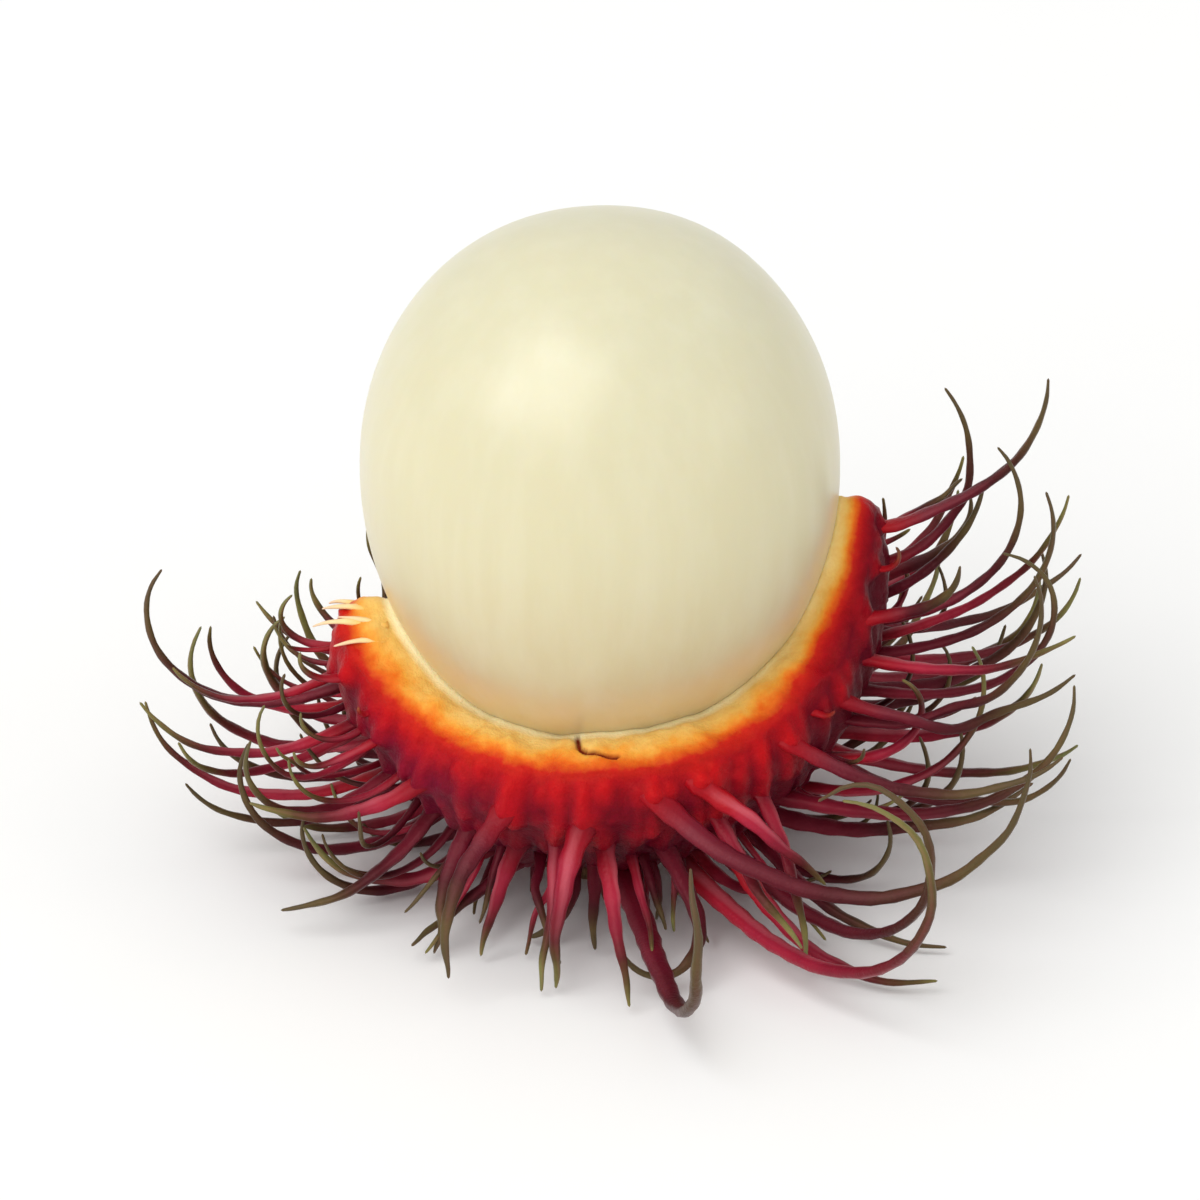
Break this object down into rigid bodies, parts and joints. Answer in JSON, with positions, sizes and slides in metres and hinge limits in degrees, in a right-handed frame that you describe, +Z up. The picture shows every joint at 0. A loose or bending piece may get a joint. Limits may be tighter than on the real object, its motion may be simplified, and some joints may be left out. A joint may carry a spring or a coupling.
{
  "type": "rambutan",
  "caption": "Half-peeled rambutan: a smooth white egg of flesh stands in a torn cup of red rind covered in long, soft, curling spines.",
  "frame": {"origin": "the middle of the flat stem scar, on the surface that the fruit stands on", "axes": "+Z up along the fruit, -Y to the front where the torn rim is lowest, +X to the right"},
  "size_m": [0.0585, 0.0591, 0.043],
  "materials": {
    "rind": "crimson rind and spines, yellow along the torn rim, olive at the spine tips",
    "flesh": "moist, translucent, creamy white"
  },
  "bodies": {
    "root": {"rind": "rind", "flesh": "flesh"}
  },
  "joints": []
}
